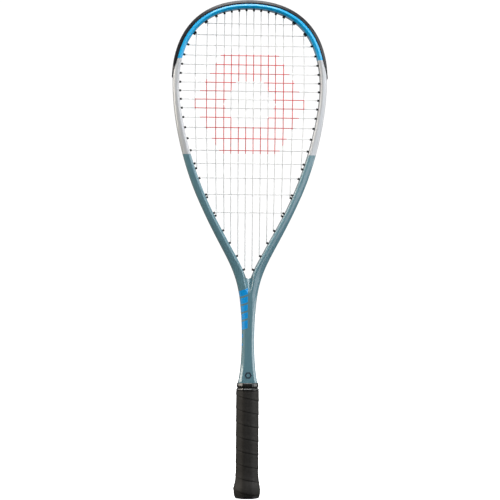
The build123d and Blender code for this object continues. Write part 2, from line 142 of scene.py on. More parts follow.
def closeAndTurnOut(piece):
    # open ends are filled and all faces are turned outwards
    selectOnly(piece)
    bpy.ops.object.mode_set(mode="EDIT")
    bpy.ops.mesh.select_mode(type="EDGE")
    bpy.ops.mesh.select_all(action="DESELECT")
    bpy.ops.mesh.select_non_manifold(extend=False, use_wire=False, use_boundary=True, use_multi_face=False,
                                     use_non_contiguous=False, use_verts=False)
    bpy.ops.mesh.fill_holes(sides=0)
    bpy.ops.mesh.select_all(action="SELECT")
    bpy.ops.mesh.normals_make_consistent(inside=False)
    bpy.ops.mesh.select_mode(type="VERT")
    bpy.ops.object.mode_set(mode="OBJECT")


def smoothBelow(piece, angle):
    selectOnly(piece)
    bpy.ops.object.shade_smooth_by_angle(angle=radians(angle), keep_sharp_edges=False)


def applyModifiers(piece):
    selectOnly(piece)
    for modifier in list(piece.modifiers):
        bpy.ops.object.modifier_apply(modifier=modifier.name)


def between(low, high, value):
    share = min(1.0, max(0.0, (value - low) / (high - low)))
    return share * share * (3 - 2 * share)


def mixed(first, second, share):
    return [a + (b - a) * share for a, b in zip(first, second)]


def valueAt(stops, place, eased=False):
    # stops: places in rising order, each with its value
    for (low, lowValue), (high, highValue) in zip(stops, stops[1:]):
        if place <= high:
            share = between(low, high, place) if eased else max(0.0, place - low) / (high - low)
            return lowValue + (highValue - lowValue) * share
    return stops[-1][1]


# the two outlines of the frame, right half, in millimetres: each curve's ends and its two handles
outlines = {
    "outer": [
        [(0, 682.6), (82.0, 682.6), (106.4, 626.3), (106.4, 573.3)],
        [(106.4, 573.3), (106.4, 513.3), (87.0, 450.15), (72.8, 417.5)],
        [(72.8, 417.5), (26.94, 312.04), (8.45, 323.7), (8.45, 216.0)],
        [(8.45, 216.0), (8.45, 190.0), (10.42, 172.76), (12.9, 160.0)],
    ],
    "opening": [
        [(0, 674.4), (81.0, 674.4), (97.7, 614.1), (97.7, 567.7)],
        [(97.7, 567.7), (97.7, 528.1), (80.0, 448.4), (43.5, 380.6)],
        [(43.5, 380.6), (1.31, 302.24), (1.4, 308.6), (1.4, 283.6)],
    ],
}


def onOutline(which, place, inwards=0.0):
    curves = outlines[which]
    index = min(int(place), len(curves) - 1)
    t = place - index
    a, b, c, d = curves[index]
    point = [(1 - t) ** 3 * a[k] + 3 * (1 - t) ** 2 * t * b[k] + 3 * (1 - t) * t * t * c[k] + t**3 * d[k]
             for k in (0, 1)]
    slope = [(1 - t) ** 2 * (b[k] - a[k]) + 2 * (1 - t) * t * (c[k] - b[k]) + t * t * (d[k] - c[k])
             for k in (0, 1)]
    size = hypot(*slope)
    normal = (-slope[1] / size, slope[0] / size)
    return (point[0] - inwards * normal[0], point[1] - inwards * normal[1]), normal


def placeWhere(which, inwards, low, high, test):
    for _ in range(40):
        middle = (low + high) / 2
        if test(*onOutline(which, middle, inwards)[0]) > 0:
            low = middle
        else:
            high = middle
    return low


# camera and light

view = {"distance": 2.43, "yaw": 4.5, "roll": 0.42, "aimX": 0.002, "aimZ": 0.342, "lens": 126.8}


def placeCamera():
    selectOnly()
    bpy.ops.object.camera_add()
    camera = bpy.context.object
    camera.name = "studioCamera"
    camera.data.lens = view["lens"]
    camera.data.clip_end = 50
    turn = radians(view["yaw"])
    aim = Vector((view["aimX"], 0, view["aimZ"]))
    camera.location = aim + Vector((-sin(turn), -cos(turn), 0)) * view["distance"]
    look = (aim - camera.location).to_track_quat("-Z", "Y").to_matrix()
    camera.rotation_euler = (look @ Matrix.Rotation(radians(view["roll"]), 3, "Z")).to_euler()
    bpy.context.scene.camera = camera


lights = {
    # name: place, aim, width, height, power in watts, colour
    "leftSoftbox": ((-1.9, -0.1, 1.02), (0, 0, 0.5), 0.7, 1.6, 30, "#FFF6EA"),
    "rightSoftbox": ((0.82, -0.88, 0.6), (0, 0, 0.42), 0.95, 1.18, 7.8, "#F8FAFF"),
    "rightCard": ((1.9, -0.1, 0.62), (0, 0, 0.5), 0.7, 1.2, 11, "#FFFFFF"),
    "topSoftbox": ((0.0, -0.72, 2.1), (0, -0.6, 0.5), 1.1, 1.5, 31, "#FFFFFF"),
}


def placeLights():
    for name, (place, aim, width, height, power, tint) in lights.items():
        selectOnly()
        bpy.ops.object.light_add(type="AREA", location=place)
        lamp = bpy.context.object
        lamp.name = name
        lamp.data.shape = "RECTANGLE"
        lamp.data.size = width
        lamp.data.size_y = height
        lamp.data.energy = power
        lamp.data.color = linearColour(tint)[:3]
        lamp.rotation_euler = (Vector(aim) - Vector(place)).to_track_quat("-Z", "Y").to_euler()
    world = bpy.data.worlds.new("whiteStudio")
    bpy.context.scene.world = world
    world.use_nodes = True
    tree = world.node_tree
    tree.nodes.clear()
    rays = addNode(tree, "ShaderNodeLightPath")
    # the room is white behind the object, and dim around it: a little brighter overhead than underfoot
    seen = addNode(tree, "ShaderNodeBackground", {"Color": (1, 1, 1, 1), "Strength": 1.05})
    direction = addNode(tree, "ShaderNodeTexCoord")
    upwards = addNode(tree, "ShaderNodeSeparateXYZ", {0: direction.outputs["Generated"]})
    glow = spread(tree, upwards.outputs[2], 0.0, 0.9, 0.02, 0.7)
    backdrop = spread(tree, upwards.outputs[1], 0.05, 0.5, 0.0, 0.22)
    whole = maths(tree, "ADD", glow, backdrop)
    room = addNode(tree, "ShaderNodeBackground", {"Color": linearColour("#F2F4F6"), "Strength": whole})
    choice = addNode(tree, "ShaderNodeMixShader", {0: rays.outputs["Is Camera Ray"], 1: room.outputs[0],
                                                   2: seen.outputs[0]})
    addNode(tree, "ShaderNodeOutputWorld", {"Surface": choice.outputs[0]})
    bpy.context.scene.view_settings.view_transform = "Standard"


def placeFloor():
    selectOnly()
    bpy.ops.mesh.primitive_plane_add(size=14, location=(0, 0, -0.0005))
    floor = bpy.context.object
    floor.name = "paleFloor"
    # matt white studio floor, lit to white
    material, tree, surface, coords = startMaterial("mattWhiteFloor", **{
        "Base Color": linearColour("#F6F6F6"), "Roughness": 0.9, "Specular IOR Level": 0.1,
        "Emission Color": (1, 1, 1, 1), "Emission Strength": 0.95})
    giveMaterial(floor, material)
    # the floor is only looked at: it throws no light back up at the object
    floor.visible_diffuse = False
    floor.visible_glossy = False


placeCamera()
placeLights()
placeFloor()
print("camera, lights and floor are placed")


# frame: one hollow beam bent round the head, its arms running together into the shaft

beam = {
    "halfDepth": 10.0,
    "rowsPerCurve": (46, 48, 130, 24),
    "grooveDepth": 3.0,
    "grooveHalf": 3.4,
    "grooveEnd": 287.0,
    "saddleTop": 303.0,
    "notch": 283.6,
    "notchHalf": 1.4,
    # on the arms, share of the way in to the crest and height off the string plane
    "armEdge": [(0, 4.6), (0.02, 5.7), (0.07, 6.6), (0.16, 7.45), (0.32, 8.35), (0.55, 9.15), (0.78, 9.7),
                (0.94, 9.95)],
    # on the shaft, distance in from the outline and height
    "shaftEdge": [(0, 5.4), (0.1, 5.95), (0.45, 6.45), (1.5, 7.5), (2.6, 8.6), (3.6, 9.6), (4.3, 9.97),
                  (5.0, 10.0)],
    # the inner side, between the crest and the opening: share of the bevel, then height
    "bevel": [(1.0, 10.0), (0.95, 9.97), (0.72, 9.5), (0.36, 8.6), (0.08, 7.8), (0.0, 7.4)],
    # how wide the bevel is, and how far the wall below it leans, down the throat
    "bevelWidth": [(283.6, 0.3), (287, 0.8), (290, 1.2), (296, 2.0), (312, 2.5), (330, 3.3), (700, 3.3)],
    "wallLean": [(283.6, 0.2), (287, 1.1), (290, 1.7), (296, 2.5), (302, 2.4), (307, 1.1), (316, 0.2), (326, 0),
                 (700, 0)],
    "wallSteps": 4,
    "floorSteps": 3,
    "fullBevel": 3.3,
    # the arms' sections turn from across the arm to level between these heights
    "armsEnd": 332,
    "levelFrom": 236,
    "shaftBlend": (300, 252),
    "flare": (12.9, 160.0),
    "flareRows": 5,
    "seat": (12.2, 148.0),
    "tangHalf": 9.0,
    "tangEnd": 14.0,
}


def beamRows():
    # each row is the outer point, the inner point, and how far the section has turned from arm to shaft
    rows = []
    liftAtBlend = None
    for curve, count in enumerate(beam["rowsPerCurve"]):
        for step in range(count):
            place = curve + step / count
            (ox, oz), normal = onOutline("outer", place)
            if oz > beam["armsEnd"]:
                across = placeWhere("opening", 0, max(place - 0.7, 0), min(place + 0.7, 3),
                                    lambda x, z: (z - oz) * normal[0] - (x - ox) * normal[1])
                (ix, iz), _ = onOutline("opening", across)
                liftAtBlend = iz - oz
            else:
                iz = oz + liftAtBlend * between(beam["levelFrom"], beam["armsEnd"], oz)
                if iz > beam["notch"]:
                    across = placeWhere("opening", 0, 1, 3, lambda x, z: z - iz)
                    (ix, iz), _ = onOutline("opening", across)
                else:
                    ix = beam["notchHalf"]
            rows.append(((ox, oz), (ix, iz), between(*beam["shaftBlend"], oz)))
    for step in range(beam["flareRows"]):
        x, z = mixed(beam["flare"], beam["seat"], step / (beam["flareRows"] - 1))
        rows.append(((x, z), (beam["notchHalf"], z), 1.0))
    for z in (beam["seat"][1], beam["tangEnd"]):
        rows.append(((beam["tangHalf"], z), (beam["notchHalf"], z), 1.0))
    return rows


def sectionPoint(row, index):
    # quarter section: groove floor, groove wall, outer edge, crest, inner bevel, wall, saddle
    (ox, oz), (ix, iz), turned = row
    width = hypot(ix - ox, iz - oz)
    groove = beam["grooveDepth"] * between(beam["grooveEnd"] - 4, beam["grooveEnd"], oz)
    rise = min(1.0, max(0.0, (beam["saddleTop"] - iz) / (beam["saddleTop"] - beam["notch"])))
    ridge = beam["halfDepth"] * rise
    bevelWidth = valueAt(beam["bevelWidth"], iz)
    lean = valueAt(beam["wallLean"], iz)
    if iz <= beam["notch"]:
        bevelWidth = lean = 0.0
    crest = width - bevelWidth - lean
    bevelDrop = min(1.0, bevelWidth / beam["fullBevel"] + 0.1)
    edges, bevels, walls = len(beam["armEdge"]), len(beam["bevel"]), beam["wallSteps"]
    if index < 3:
        inward, height = [(groove, 0.0), (groove, beam["grooveHalf"] - 0.1), (0.0, beam["grooveHalf"] + 0.1)][index]
    elif index < 3 + edges:
        share, high = beam["armEdge"][index - 3]
        inward, height = mixed((share * crest, high), beam["shaftEdge"][index - 3], turned)
    elif index < 3 + edges + bevels:
        share, height = beam["bevel"][index - 3 - edges]
        height = beam["halfDepth"] - (beam["halfDepth"] - height) * bevelDrop
        inward = width - lean - bevelWidth * share
    elif index < 3 + edges + bevels + walls:
        share = (index - 2 - edges - bevels) / walls
        wallTop = beam["halfDepth"] - (beam["halfDepth"] - beam["bevel"][-1][1]) * bevelDrop
        inward = width - lean * (1 - share)
        height = wallTop + (ridge - wallTop) * share
    else:
        # the saddle's floor runs on from the wall to the middle
        share = (index - 2 - edges - bevels - walls) / beam["floorSteps"]
        if ridge <= 0:
            return ix, 0.0, iz
        crown = 0.5 * (1 - (1 - share) ** 2) * between(0, 3, beam["halfDepth"] - ridge)
        return ix * (1 - share), -min(beam["halfDepth"], ridge + crown), iz
    if index >= 3 + edges:
        height = max(height, ridge)
    atX, atZ = mixed((ox, oz), (ix, iz), inward / width)
    return atX, -height, atZ


def buildFrame():
    rows = beamRows()
    columns = 3 + len(beam["armEdge"]) + len(beam["bevel"]) + beam["wallSteps"] + beam["floorSteps"] - 1
    piece = drawnSheet("racketFrame", columns, len(rows) - 1, lambda c, r: sectionPoint(rows[r], c))
    # faces left lying in the string plane under the saddle are taken out before mirroring
    selectOnly(piece)
    bpy.ops.object.mode_set(mode="EDIT")
    bpy.ops.mesh.select_mode(type="FACE")
    bpy.ops.mesh.select_all(action="DESELECT")
    bpy.ops.object.mode_set(mode="OBJECT")
    for face in piece.data.polygons:
        face.select = all(abs(piece.data.vertices[i].co.y) < 0.00001 for i in face.vertices)
    bpy.ops.object.mode_set(mode="EDIT")
    bpy.ops.mesh.delete(type="FACE")
    bpy.ops.mesh.select_mode(type="VERT")
    bpy.ops.object.mode_set(mode="OBJECT")
    halves = piece.modifiers.new("bothHalves", "MIRROR")
    halves.use_axis = (True, True, False)
    halves.use_clip = True
    halves.merge_threshold = 0.004 * mm
    applyModifiers(piece)
    mergeDoubles(piece)
    closeAndTurnOut(piece)
    smoothBelow(piece, 24)
    return piece


racketFrame = buildFrame()
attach(racketFrame, "root")
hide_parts("frame")
print("frame is built:", len(racketFrame.data.polygons), "faces")

paint = {
    "blue": "#00B6F2",
    "grey": "#C8CBCD",
    "slate": "#638C97",
    "mark": "#009FEC",
    "emblem": "#27313E",
    "blueFrom": 603.0,
    "greyFrom": 473.0,
    "rampTop": 700,
    # blocks up the shaft: their lower and upper ends on the middle line, and the slant of their ends
    "blocks": [(202.5, 205), (213, 216), (224, 227), (233, 245.5), (248, 256), (258.3, 267.5), (269.1, 278.5),
               (280.3, 289.5)],
    "slant": 0.35,
    "blocksFrom": 1.2,
    "edgeMarksBelow": 229.5,
    "edgeMarksFrom": 7.3,
    "emblemHeight": 169.5,
    "emblemReach": 3.4,
    "emblemHalf": 0.95,
    "faceHeight": 8.5,
}


def rampOf(tree, factor, stops):
    # stops: place from 0 to 1 and colour, held flat until the next
    node = addNode(tree, "ShaderNodeValToRGB", {0: factor})
    ramp = node.color_ramp
    ramp.interpolation = "CONSTANT"
    while len(ramp.elements) < len(stops):
        ramp.elements.new(0.5)
    for element, (place, colour) in zip(ramp.elements, stops):
        element.position = place
        element.color = colour
    return node


def hexRing(tree, x, z, reach, half):
    # one inside a hexagonal ring: its middle line at reach across the flats, half its width either side
    parts = []
    for turn in (30, 90, 150):
        alongX = maths(tree, "MULTIPLY", x, cos(radians(turn)))
        parts.append(maths(tree, "ABSOLUTE", maths(tree, "MULTIPLY_ADD", z, sin(radians(turn)), alongX)))
    distance = maths(tree, "MAXIMUM", maths(tree, "MAXIMUM", parts[0], parts[1]), parts[2])
    return maths(tree, "COMPARE", distance, reach * mm, half * mm)


def rampPlace(height):
    return height / paint["rampTop"]


def makeFramePaint():
    # carbon composite under sprayed colour and a glossy clear coat: soft body colour, sharp reflections
    material, tree, surface, coords = startMaterial("clearCoatedPaint", **{
        "Roughness": 0.38, "IOR": 1.5, "Coat Weight": 1.0, "Coat Roughness": 0.07, "Coat IOR": 1.5})
    x, y, z = addNode(tree, "ShaderNodeSeparateXYZ", {0: coords.outputs["Object"]}).outputs
    toRamp = 1 / (paint["rampTop"] * mm)
    zones = rampOf(tree, maths(tree, "MULTIPLY", z, toRamp), [
        (0.0, linearColour(paint["slate"])),
        (rampPlace(paint["greyFrom"]), linearColour(paint["grey"])),
        (rampPlace(paint["blueFrom"]), linearColour(paint["blue"])),
    ])
    # slanted blocks down one side of the shaft, on the left of each face
    side = maths(tree, "MULTIPLY", x, maths(tree, "SIGN", y))
    slanted = maths(tree, "MULTIPLY_ADD", side, paint["slant"], z)
    bare, filled = (0, 0, 0, 1), (1, 1, 1, 1)
    stops = [(0.0, bare)]
    for low, high in paint["blocks"]:
        stops += [(rampPlace(low), filled), (rampPlace(high), bare)]
    blocks = rampOf(tree, maths(tree, "MULTIPLY", slanted, toRamp), stops)
    onSide = maths(tree, "GREATER_THAN", side, paint["blocksFrom"] * mm)
    high = maths(tree, "GREATER_THAN", z, paint["edgeMarksBelow"] * mm)
    nearEdge = maths(tree, "GREATER_THAN", side, paint["edgeMarksFrom"] * mm)
    allowed = maths(tree, "MULTIPLY", onSide, maths(tree, "MAXIMUM", high, nearEdge))
    inBlock = maths(tree, "MULTIPLY", blocks.outputs[0], allowed)
    marked = mixColours(tree, inBlock, zones.outputs[0], linearColour(paint["mark"]))
    # small hexagon ring low on the shaft, on both faces
    fromEmblem = maths(tree, "SUBTRACT", z, paint["emblemHeight"] * mm)
    ring = hexRing(tree, x, fromEmblem, paint["emblemReach"], paint["emblemHalf"])
    onFace = maths(tree, "GREATER_THAN", maths(tree, "ABSOLUTE", y), paint["faceHeight"] * mm)
    finished = mixColours(tree, maths(tree, "MULTIPLY", ring, onFace), marked, linearColour(paint["emblem"]))
    tree.links.new(finished, surface.inputs["Base Color"])
    return material


giveMaterial(racketFrame, makeFramePaint())
print("frame is painted")


# grommet places, worked out along the opening as the strips' barrels are

grommets = {
    "mouthReach": 3.0,
    "barrelRadius": 1.5,
    "layer": 0.65,
    "plate": 2.55,
    "mainsAtHead": [74.2, 58.8, 46.0, 35.1, 25.2, 15.0, 5.1],
    "mainsAtThroat": [72.0, 56.7, 44.8, 34.0, 24.7, 14.8, 4.9],
    "firstCross": 653.8,
    "crossGaps": [15.7, 14.5, 13.7, 12.7, 12.4, 12.1, 11.8, 11.6, 12.1, 12.7, 14.0, 15.0, 16.5, 18.0, 20.0, 22.6,
                  25.0],
    "stringDepth": 1.05,
    # the main whose head barrel also takes a knot, counted from the outermost, and that barrel's size
    "tieOff": 2,
    "tieOffSize": 1.3,
}


def grommetAt(place, layer):
    mouth, normal = onOutline("opening", place, grommets["mouthReach"])
    found = {"mouth": mouth, "normal": normal, "layer": layer}
    for name, inwards in (("plate", grommets["plate"]), ("string", grommets["stringDepth"])):
        nearest = placeWhere("outer", inwards, max(place - 1, 0), min(place + 1, 3),
                             lambda x, z: (z - mouth[1]) * normal[0] - (x - mouth[0]) * normal[1])
        found[name] = onOutline("outer", nearest, inwards)[0]
        found[name + "Place"] = nearest
    return found


reach = grommets["mouthReach"]
mainTops = [grommetAt(placeWhere("opening", reach, 0, 1, lambda x, z: wanted - x), grommets["layer"])
            for wanted in grommets["mainsAtHead"]]
mainFeet = [grommetAt(placeWhere("opening", reach, 1, 3, lambda x, z: x - wanted), grommets["layer"])
            for wanted in grommets["mainsAtThroat"]]
crossHeights = [grommets["firstCross"]]
for gap in grommets["crossGaps"]:
    crossHeights.append(crossHeights[-1] - gap)
crossEnds = [grommetAt(placeWhere("opening", reach, 0, 3, lambda x, z: z - wanted), -grommets["layer"])
             for wanted in crossHeights]


# bumper guard: moulded in one piece with its barrels

guard = {
    "rows": 190,
    "columns": 17,
    "endPlace": placeWhere("outer", 0, 0, 2, lambda x, z: z - 578.8),
    "crownStand": 3.4,
    "endStand": 1.1,
    "taperFrom": 604.0,
    "taperTo": 578.8,
}


def guardPoint(column, row):
    place = (row / guard["rows"] * 2 - 1) * guard["endPlace"]
    along = abs(place)
    stand = guard["crownStand"] + (guard["endStand"] - guard["crownStand"]) * along / guard["endPlace"]
    (_, height), _ = onOutline("outer", along)
    pinch = 1 - min(1.0, max(0.0, (height - guard["taperTo"]) / (guard["taperFrom"] - guard["taperTo"])))
    pinch = pinch ** 1.25
    broad = 2.1 + 1.1 * between(0.0, 0.8, along / guard["endPlace"])
    lip = broad - (broad + stand * 0.9) * pinch
    depth = 9.6 - 3.4 * pinch
    # half section, how far in from the outline and how far off the string plane: plate, lip, crown, channel
    section = [
        (2.9, 0.0), (2.9, 3.2), (0.1, 3.3), (0.05, 4.8), (min(0.6, lip), 6.4 - 1.2 * pinch),
        (lip - 0.1, 8.2 - 3.2 * pinch), (lip, depth - 0.55), (lip - 0.25, depth - 0.1), (lip - 0.9, depth),
        (lip - 1.5 * (1 - pinch) - 0.3, depth - 0.25), (-stand * 0.72, depth - 1.35 + 0.4 * pinch),
        (-stand * 0.93, depth - 2.6 + 0.8 * pinch), (-stand, depth - 4.0 + 1.4 * pinch), (-stand, 3.2),
        (-stand + 0.12, 2.55), (-stand + 0.45, 2.25), (2.1, 2.2), (2.1, 0.0),
    ]
    inward, off = section[column]
    inward = max(inward, -stand)
    (x, z), _ = onOutline("outer", along, inward)
    return (x if place >= 0 else -x), -off, z


def buildBarrel():
    # one barrel, mouth up, with its bore sunk in
    selectOnly()
    bpy.ops.mesh.primitive_cylinder_add(vertices=12, radius=grommets["barrelRadius"] * mm, depth=2 * mm,
                                        end_fill_type="NGON")
    barrel = bpy.context.object
    barrel.name = "barrel"
    bpy.ops.object.mode_set(mode="EDIT")
    bpy.ops.mesh.select_mode(type="FACE")
    bpy.ops.mesh.select_all(action="DESELECT")
    bpy.ops.object.mode_set(mode="OBJECT")
    for polygon in barrel.data.polygons:
        polygon.select = polygon.normal.z > 0.9
    bpy.ops.object.mode_set(mode="EDIT")
    bpy.ops.mesh.inset(thickness=0.35 * mm)
    bpy.ops.transform.translate(value=(0, 0, 0.25 * mm))
    bpy.ops.mesh.inset(thickness=0.35 * mm)
    bpy.ops.mesh.extrude_region_move(TRANSFORM_OT_translate={"value": (0, 0, -0.9 * mm)})
    bpy.ops.mesh.select_mode(type="VERT")
    bpy.ops.object.mode_set(mode="OBJECT")
    return barrel


def setBarrel(pattern, spot, side, size=1.0):
    # a copy of the barrel from the strip to its mouth, made wider by size
    selectOnly(pattern)
    bpy.ops.object.duplicate()
    copy = bpy.context.object
    mouth = Vector((side * spot["mouth"][0], spot["layer"], spot["mouth"][1])) * mm
    root = Vector((side * spot["plate"][0], spot["layer"], spot["plate"][1])) * mm
    length = (mouth - root).length
    for vertex in copy.data.vertices:
        vertex.co.x *= size
        vertex.co.y *= size
        if vertex.co.z < 0:
            vertex.co.z = -length
        else:
            vertex.co.z -= 1.25 * mm
    turn = (mouth - root).to_track_quat("Z", "Y").to_matrix().to_4x4()
    copy.data.transform(Matrix.Translation(mouth) @ turn)
    return copy


def buildGuard():
    half = drawnSheet("bumperGuard", guard["columns"], guard["rows"], guardPoint)
    mirror = half.modifiers.new("frontAndBack", "MIRROR")
    mirror.use_axis = (False, True, False)
    mirror.merge_threshold = 0.004 * mm
    applyModifiers(half)
    mergeDoubles(half)
    closeAndTurnOut(half)
    smoothBelow(half, 38)
    pattern = buildBarrel()
    smoothBelow(pattern, 40)
    parts = []
    for index, spot in enumerate(mainTops):
        size = grommets["tieOffSize"] if index == grommets["tieOff"] else 1.0
        parts += [setBarrel(pattern, spot, side, size) for side in (-1, 1)]
    for spot in crossEnds:
        if spot["platePlace"] < guard["endPlace"]:
            parts += [setBarrel(pattern, spot, side) for side in (-1, 1)]
    bpy.data.objects.remove(pattern)
    selectOnly(half, *parts)
    bpy.ops.object.join()
    return bpy.context.object


bumperGuard = buildGuard()
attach(bumperGuard, "root")
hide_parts("bumper_guard")


def makeNylon(name, colour, roughness, scuff):
    # injection-moulded nylon: near-black, fine moulded skin, dulled in faint rubs
    material, tree, surface, coords = startMaterial(name, **{"IOR": 1.53, "Specular IOR Level": 0.5})
    rubs = noiseOn(tree, coords, 90.0, 4.0, 0.65)
    tint = mixColours(tree, rubs, linearColour(colour), linearColour("#26262A"))
    tree.links.new(tint, surface.inputs["Base Color"])
    tree.links.new(spread(tree, rubs, 0.42, 0.7, roughness, roughness + scuff), surface.inputs["Roughness"])
    bumpSurface(tree, surface, noiseOn(tree, coords, 1800.0, 2.0), 0.12, 0.1)
    return material


giveMaterial(bumperGuard, makeNylon("glossMouldedNylon", "#0C0C0E", 0.24, 0.14))
grommetNylon = makeNylon("mattMouldedNylon", "#050506", 0.6, 0.1)
for node in ("side_strip_left", "side_strip_right", "throat_strip_left", "throat_strip_right"):
    giveMaterial(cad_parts[node], grommetNylon)
print("bumper guard and grommet strips are done")


# strings: two lengths woven over and under each other, drawn through every barrel

strings = {
    "radius": 0.6,
    "bow": 2.2,
    "pointsPerCell": 6,
    "channelSteps": 6,
    "stencilHeight": 543.0,
    "stencilReach": 50.0,
    "stencilHalf": 18.5,
}


def mainX(top, foot, z):
    # a main bows outwards a little between its two mouths
    share = (z - foot[1]) / (top[1] - foot[1])
    straight = foot[0] + (top[0] - foot[0]) * share
    return straight + strings["bow"] * (abs(straight) / 75) * 4 * share * (1 - share) * (1 if straight > 0 else -1)


def mainsLeftToRight():
    found = []
    for side in (-1, 1):
        for index, (top, foot) in enumerate(zip(mainTops, mainFeet)):
            ends = [(side * spot["mouth"][0], spot["mouth"][1]) for spot in (top, foot)]
            found.append((side, index, *ends))
    return sorted(found, key=lambda item: item[2][0])


allMains = mainsLeftToRight()


def weaveMain(number, top, foot, downwards):
    # points down one main, in front of a cross and behind the next
    stops = [(top[1], 0.0)]
    for crossNumber, height in enumerate(crossHeights):
        inside = foot[1] + 2 < height < top[1] - 2
        x = mainX(top, foot, height)
        cross = crossEnds[crossNumber]["mouth"][0]
        if inside and abs(x) < cross - 1:
            stops.append((height, strings["radius"] * (1 if (number + crossNumber) % 2 else -1)))
    stops.append((foot[1], 0.0))
    points = []
    for (highZ, highY), (lowZ, lowY) in zip(stops, stops[1:]):
        for step in range(strings["pointsPerCell"]):
            share = step / strings["pointsPerCell"]
            z = highZ + (lowZ - highZ) * share
            y = lowY + (highY - lowY) * (0.5 + 0.5 * cos(pi * share))
            points.append((mainX(top, foot, z), y, z))
    points.append((foot[0], 0.0, foot[1]))
    return points if downwards else points[::-1]


def weaveCross(crossNumber, leftwards):
    height = crossHeights[crossNumber]
    edge = crossEnds[crossNumber]["mouth"]
    stops = [(-edge[0], 0.0)]
    for number, (side, index, top, foot) in enumerate(allMains):
        x = mainX(top, foot, height)
        if abs(x) < edge[0] - 1 and foot[1] + 2 < height < top[1] - 2:
            stops.append((x, strings["radius"] * (-1 if (number + crossNumber) % 2 else 1)))
    stops.append((edge[0], 0.0))
    points = []
    for (fromX, fromY), (toX, toY) in zip(stops, stops[1:]):
        for step in range(strings["pointsPerCell"]):
            share = step / strings["pointsPerCell"]
            points.append((fromX + (toX - fromX) * share,
                           toY + (fromY - toY) * (0.5 + 0.5 * cos(pi * share)), height))
    points.append((edge[0], 0.0, height))
    return points[::-1] if leftwards else points


def channelRun(first, second, side, layer):
    # over the strip from one barrel to the next, in the guard's channel
    points = []
    for step in range(1, strings["channelSteps"]):
        share = step / strings["channelSteps"]
        place = first["stringPlace"] + (second["stringPlace"] - first["stringPlace"]) * share
        (x, z), _ = onOutline("outer", place, grommets["stringDepth"])
        points.append((side * x, layer, z))
    return points


def throughBarrel(spot, side, outwards):
    inner = (side * spot["mouth"][0], spot["layer"] * 0.3, spot["mouth"][1])
    outer = (side * spot["string"][0], spot["layer"], spot["string"][1])
    return [inner, outer] if outwards else [outer, inner]


def drawString(name, points):
    data = bpy.data.curves.new(name, "CURVE")
    data.dimensions = "3D"
    spline = data.splines.new("POLY")
    spline.points.add(len(points) - 1)
    for point, place in zip(spline.points, points):
        point.co = (place[0] * mm, place[1] * mm, place[2] * mm, 1)
    data.bevel_depth = strings["radius"] * mm
    data.bevel_resolution = 1
    data.use_fill_caps = True
    piece = bpy.data.objects.new(name, data)
    bpy.context.collection.objects.link(piece)
    selectOnly(piece)
    bpy.ops.object.convert(target="MESH")
    piece = bpy.context.object
    smoothBelow(piece, 60)
    return piece


def mainsOneSide(side):
    # from the middle main outwards, down one and up the next
    points = []
    for turn, index in enumerate(reversed(range(len(mainTops)))):
        downwards = turn % 2 == 0
        ends = (mainTops, mainFeet) if downwards else (mainFeet, mainTops)
        number = next(n for n, item in enumerate(allMains) if item[:2] == (side, index))
        points += throughBarrel(ends[0][index], side, False)
        points += weaveMain(number, *allMains[number][2:], downwards)[1:-1]
        points += throughBarrel(ends[1][index], side, True)
        if index:
            points += channelRun(ends[1][index], ends[1][index - 1], side, grommets["layer"])
    return points


def mainsRoute():
    # the left side reversed, then over the crown between the two middle mains, then the right side
    middle = mainTops[-1]
    link = []
    for step in range(1, strings["channelSteps"]):
        share = step / strings["channelSteps"]
        (_, z), _ = onOutline("outer", middle["stringPlace"] * abs(2 * share - 1), grommets["stringDepth"])
        link.append((middle["string"][0] * (2 * share - 1), grommets["layer"], z))
    return mainsOneSide(-1)[::-1] + link + mainsOneSide(1)


def crossesRoute():
    points = []
    for index, spot in enumerate(crossEnds):
        leftwards = index % 2 == 0
        start, end = (1, -1) if leftwards else (-1, 1)
        points += throughBarrel(spot, start, False)
        points += weaveCross(index, leftwards)[1:-1]
        points += throughBarrel(spot, end, True)
        if index < len(crossEnds) - 1:
            points += channelRun(spot, crossEnds[index + 1], end, -grommets["layer"])
    return points


mainsBed = drawString("mainsString", mainsRoute())
crossesBed = drawString("crossesString", crossesRoute())
for piece, node in ((mainsBed, "mains_string"), (crossesBed, "crosses_string")):
    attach(piece, "root")
    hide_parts(node)


def makeStringMaterial():
    # nylon multifilament with a clear coating: off-white, faintly wound, stencilled with red ink
    material, tree, surface, coords = startMaterial("coatedMultifilament", **{"Roughness": 0.34, "IOR": 1.53})
    x, _, z = addNode(tree, "ShaderNodeSeparateXYZ", {0: coords.outputs["Object"]}).outputs
    fromMiddle = maths(tree, "SUBTRACT", z, strings["stencilHeight"] * mm)
    ring = hexRing(tree, x, fromMiddle, strings["stencilReach"], strings["stencilHalf"])
    # ink that took unevenly
    ink = spread(tree, noiseOn(tree, coords, 160.0, 3.0), 0.3, 0.55, 0.86, 1.0)
    colour = mixColours(tree, maths(tree, "MULTIPLY", ring, ink), linearColour("#F1F1EE"), linearColour("#E8101F"))
    tree.links.new(colour, surface.inputs["Base Color"])
    strands = addNode(tree, "ShaderNodeTexWave", {"Vector": coords.outputs["Object"], "Scale": 500.0,
                                                  "Distortion": 0.0}, bands_direction="DIAGONAL")
    bumpSurface(tree, surface, strands.outputs[1], 0.2, 0.1)
    return material


stringMaterial = makeStringMaterial()
for piece in (mainsBed, crossesBed):
    giveMaterial(piece, stringMaterial)
print("strings are woven")


# grip: a long perforated strip wound in a spiral, each turn lapping the one below

